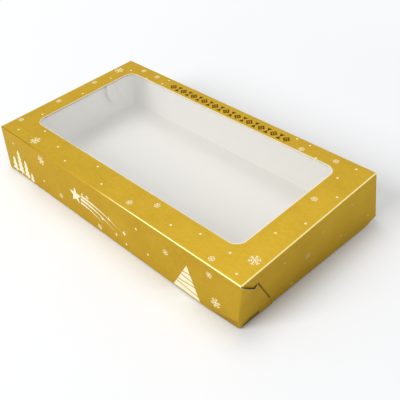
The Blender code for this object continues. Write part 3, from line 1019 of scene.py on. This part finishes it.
def brown_ink():
    """Dense matt brown ink."""
    material, tree, shader, place = new_finish("brown_ink", Specular_IOR_Level=0.05)
    patch = speckle(tree, place, size=0.0010, detail=3)
    worn = between(tree, patch, 1, 0, from_low=0.35, from_high=0.65)
    tree.links.new(
        blend_colours(tree, worn, INK_BROWN, INK_BROWN_WORN), shader.inputs["Base Color"]
    )
    tree.links.new(between(tree, patch, 0.55, 0.68), shader.inputs["Roughness"])
    return material


def diamond():
    """A diamond frame round a small diamond."""
    bm = bmesh.new()
    bmesh.ops.create_circle(bm, cap_ends=True, segments=4, radius=DIAMOND_REACH)
    frame_faces = bm.faces[:]
    bmesh.ops.inset_individual(bm, faces=frame_faces, thickness=DIAMOND_FRAME)
    bmesh.ops.delete(bm, geom=frame_faces, context="FACES_ONLY")
    bmesh.ops.create_circle(bm, cap_ends=True, segments=4, radius=DIAMOND_HEART)
    return bm


def hourglass():
    """Two triangles, point to point."""
    bm = bmesh.new()
    half_width, half_height = HOURGLASS
    for y in (half_height, -half_height):
        corners = ((0, 0, 0), (half_width, y, 0), (-half_width, y, 0))
        bm.faces.new([bm.verts.new(corner) for corner in corners])
    return bm


BORDER_MOTIFS = (motif("diamond", diamond()), motif("hourglass", hourglass()))
border = bmesh.new()
for count in range(-BORDER_SIDE, BORDER_SIDE + 1):
    stamp(border, BORDER_MOTIFS[count % 2], BORDER_MIDDLE + BORDER_PITCH * count, BORDER_Y)
lay_print("lid_top_border", border, brown_ink(), on_top)


# Print, firs: a stand of plain fir trees by the left end of the front wall, and one tall fir of
# slanted bands by its right end, all in the cream ink.
FIR_TRUNK = 0.07                  # half the trunk's width, as a share of the tree's
FIR_FOOT = 0.10                   # height of the trunk, as a share of the tree's
FIR_TAPER = 0.72                  # how much narrower it would be at its very top
FIR_NOTCH = 0.42                  # width at the top of a tier, as a share of its foot
FIR_TIER = 0.92                   # where that top is, as a share of the tier's height
FIRS = (                          # middle, width and height in millimetres, and tiers
    (-165, 12, 21, 3), (-153, 13, 33, 5), (-141, 12, 25, 4), (-131, 8, 13, 2),
)
FIRS_Y = 2.0                      # millimetres above the table
BANDED_FIR_SIZE = 0.034
BANDED_FIR_PLACE = (117, 2.5)     # millimetres
BAND_STEP = 0.0062
BAND_GAP = 0.0011
BAND_SLANT = math.radians(6)


def fir(width, height, tiers):
    """A flat fir on y = 0: a trunk below tiers of branches that narrow to the top."""
    trunk, foot = FIR_TRUNK * width, FIR_FOOT * height
    side = [(trunk, 0), (trunk, foot)]
    step = (height - foot) / tiers
    for tier in range(tiers):
        low = foot + step * tier
        reach = width / 2 * (1 - FIR_TAPER * tier / tiers)
        side += [(reach, low), (FIR_NOTCH * reach, low + FIR_TIER * step)]
    side[-1] = (0, height)
    outline = side + [(-x, y) for x, y in reversed(side[:-1])]
    bm = bmesh.new()
    bm.faces.new([bm.verts.new((x, y, 0)) for x, y in outline])
    return bm


def banded_fir(width, height):
    """A flat fir on y = 0, cut into bands that slant one way and then the other."""
    bm = bmesh.new()
    corners = ((-width / 2, 0), (width / 2, 0), (0, height))
    bm.faces.new([bm.verts.new((x, y, 0)) for x, y in corners])
    for count in range(1, int(height / BAND_STEP)):
        slant = BAND_SLANT * (-1) ** count
        normal = Vector((-math.sin(slant), math.cos(slant), 0))
        middle = Vector((0, BAND_STEP * count, 0))
        for offset in (-BAND_GAP / 2, BAND_GAP / 2):
            cut_through(bm, middle + normal * offset, normal)
        gap = [
            face for face in bm.faces
            if abs((face.calc_center_median() - middle).dot(normal)) < BAND_GAP / 2
        ]
        bmesh.ops.delete(bm, geom=gap, context="FACES")
    return bm


firs = bmesh.new()
for x, width, height, tiers in FIRS:
    stamp(firs, motif("fir", fir(width / 1000, height / 1000, tiers)), x, FIRS_Y)
banded = motif("banded_fir", banded_fir(BANDED_FIR_SIZE, BANDED_FIR_SIZE))
stamp(firs, banded, *BANDED_FIR_PLACE)
wall_print("lid_front_firs", firs, CREAM, lid_front_length, 0, front_middle)


# Print, comet: a five-pointed star with a trail of curved streaks and small stars, in the
# cream ink on the front wall between the flakes.
COMET_PLACE = (-46, 28)           # millimetres, as are all but the sizes in the next two
STREAKS = (                       # x, y, length, drop and width
    (-36, 32, 64, 12, 3.0), (-37, 27.5, 54, 12, 3.6), (-38, 22.5, 38, 9, 2.6),
)
SMALL_STARS = (                   # x, y and size
    (-25, 36, 1.0), (-3, 21, 0.8), (8, 27, 0.9), (18, 13, 0.8), (31, 22, 1.1), (33, 9, 0.7),
)
STREAK_STEPS = 12


def star(points, reach, waist):
    """A flat star about the origin, waist its inner radius as a share of its reach."""
    bm = bmesh.new()
    made = bmesh.ops.create_circle(bm, cap_ends=True, segments=2 * points, radius=reach)
    for vert in made["verts"][1::2]:
        vert.co *= waist
    return bm


def streak(length, drop, width):
    """A flat curved streak from the origin to the right, thinning to its end."""
    upper, lower = [], []
    for share in [step / STREAK_STEPS for step in range(STREAK_STEPS + 1)]:
        x, middle, half = length * share, -drop * share ** 2, width / 2 * (1 - share)
        upper.append((x, middle + half, 0))
        lower.append((x, middle - half, 0))
    bm = bmesh.new()
    bm.faces.new([bm.verts.new(point) for point in upper[::-1] + lower[:-1]])
    return bm


comet = bmesh.new()
stamp(comet, motif("comet_head", star(points=5, reach=0.0100, waist=0.45)), *COMET_PLACE)
for x, y, length, drop, width in STREAKS:
    trail = motif("streak", streak(length / 1000, drop / 1000, width / 1000))
    stamp(comet, trail, x, y)
small_star = motif("small_star", star(points=4, reach=0.0032, waist=0.36))
for x, y, size in SMALL_STARS:
    stamp(comet, small_star, x, y, size=size)
wall_print("lid_front_comet", comet, CREAM, lid_front_length, 0, front_middle)

# The motifs were only stamps, so their own meshes go
for mesh in [mesh for mesh in bpy.data.meshes if not mesh.users]:
    bpy.data.meshes.remove(mesh)
